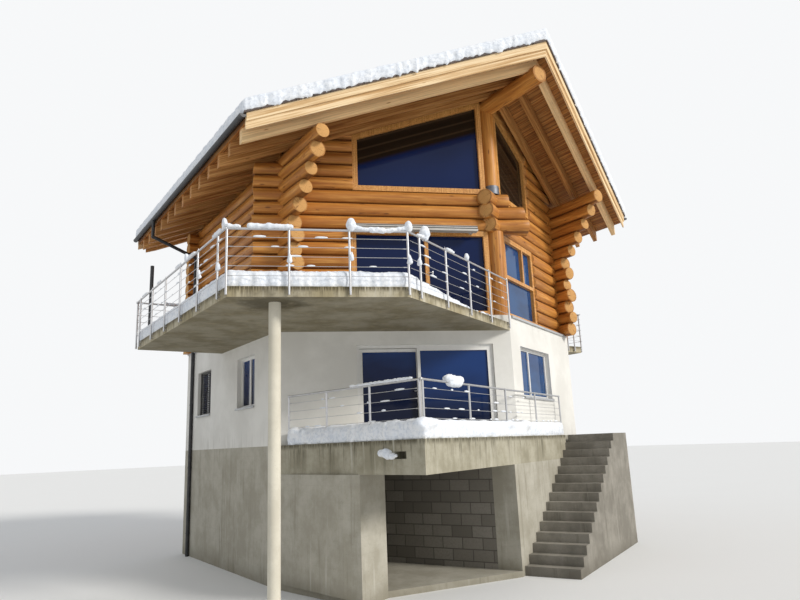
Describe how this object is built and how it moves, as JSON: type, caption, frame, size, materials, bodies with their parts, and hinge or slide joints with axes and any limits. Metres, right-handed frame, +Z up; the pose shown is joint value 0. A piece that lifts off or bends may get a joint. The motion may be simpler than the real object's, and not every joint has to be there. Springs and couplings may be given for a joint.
{
  "type": "alpine chalet",
  "caption": "Three-storey alpine chalet: concrete garage storey with terrace and stair, white rendered storey, and a log storey with balcony under a snowy gable roof.",
  "frame": {"origin": "underside of the garage floor, under the ridge area, 4.3 m behind the point of the front wall", "axes": "+X to the right across the front, +Y back along the ridge, +Z up"},
  "size_m": [13.5323, 12.7769, 12.49],
  "materials": {
    "concrete": "board-marked concrete, stained by water",
    "block_wall": "rough blockwork",
    "white_render": "fine white render",
    "logs": "round logs, satin honey-brown glaze",
    "roof_timber": "pale sawn boards",
    "roof_tiles": "matt clay tiles",
    "snow": "settled snow, soft and matt",
    "dark_metal": "dark coated sheet",
    "shutter_metal": "dark slats",
    "awning_metal": "pale coated case with folded cloth inside",
    "grey_metal": "galvanised and painted",
    "stainless_steel": "brushed tube and wire",
    "white_frames": "white window sections",
    "stained_frames": "orange-brown stained wood",
    "window_glass": "clear double glazing"
  },
  "bodies": {
    "house": {"garage_floor": "concrete", "garage_wall_left": "concrete", "garage_pillar": "concrete", "garage_wall_back": "concrete", "garage_wall_right": "block_wall", "cellar_wall_front": "concrete", "cellar_wall_left": "concrete", "cellar_wall_right": "concrete", "cellar_wall_back": "concrete", "terrace_slab": "concrete", "living_floor": "concrete", "living_wall_left": "white_render", "living_wall_front_corner": "white_render", "living_wall_front_point": "white_render", "terrace_door_lintel": "white_render", "living_wall_front_right": "white_render", "living_wall_right": "white_render", "living_wall_back": "white_render", "terrace_door_frame": "white_frames", "terrace_door_fixed_leaf": "white_frames", "living_window_frames": "white_frames", "living_window_glass": "window_glass", "window_shutter": "shutter_metal", "upper_floor": "concrete", "balcony_slab": "concrete", "balcony_column": "grey_metal", "balcony_pole": "grey_metal", "balcony_railing_left": "stainless_steel", "balcony_railing_front": "stainless_steel", "balcony_railing_right": "stainless_steel", "balcony_railing_back": "stainless_steel", "side_balcony_slab": "concrete", "side_balcony_railing": "stainless_steel", "terrace_railing_left": "stainless_steel", "terrace_railing_right": "stainless_steel", "stair": "concrete", "log_wall_left": "logs", "log_wall_front_left": "logs", "log_wall_front_right": "logs", "log_wall_right": "logs", "log_wall_back": "logs", "ridge_log": "logs", "point_post_lower": "logs", "point_post_upper": "logs", "post_shoe": "grey_metal", "log_window_frames": "stained_frames", "log_window_glass": "window_glass", "balcony_awning": "awning_metal", "rafters_left": "roof_timber", "rafters_right": "roof_timber", "roof_body": "roof_timber", "verge_boards": "roof_timber", "roof_tiles": "roof_tiles", "roof_gutters": "dark_metal", "downpipes": "dark_metal", "roof_snow": "snow", "floor_snow": "snow"},
    "sliding_leaf": {"terrace_door_sliding_leaf": "white_frames", "terrace_door_sliding_glass": "window_glass"}
  },
  "joints": [
    {"name": "terrace_door_slide", "type": "slide", "parent": "house", "child": "sliding_leaf", "axis": [0.9135, -0.4067, 0], "range_m": [0, 1.35]}
  ]
}
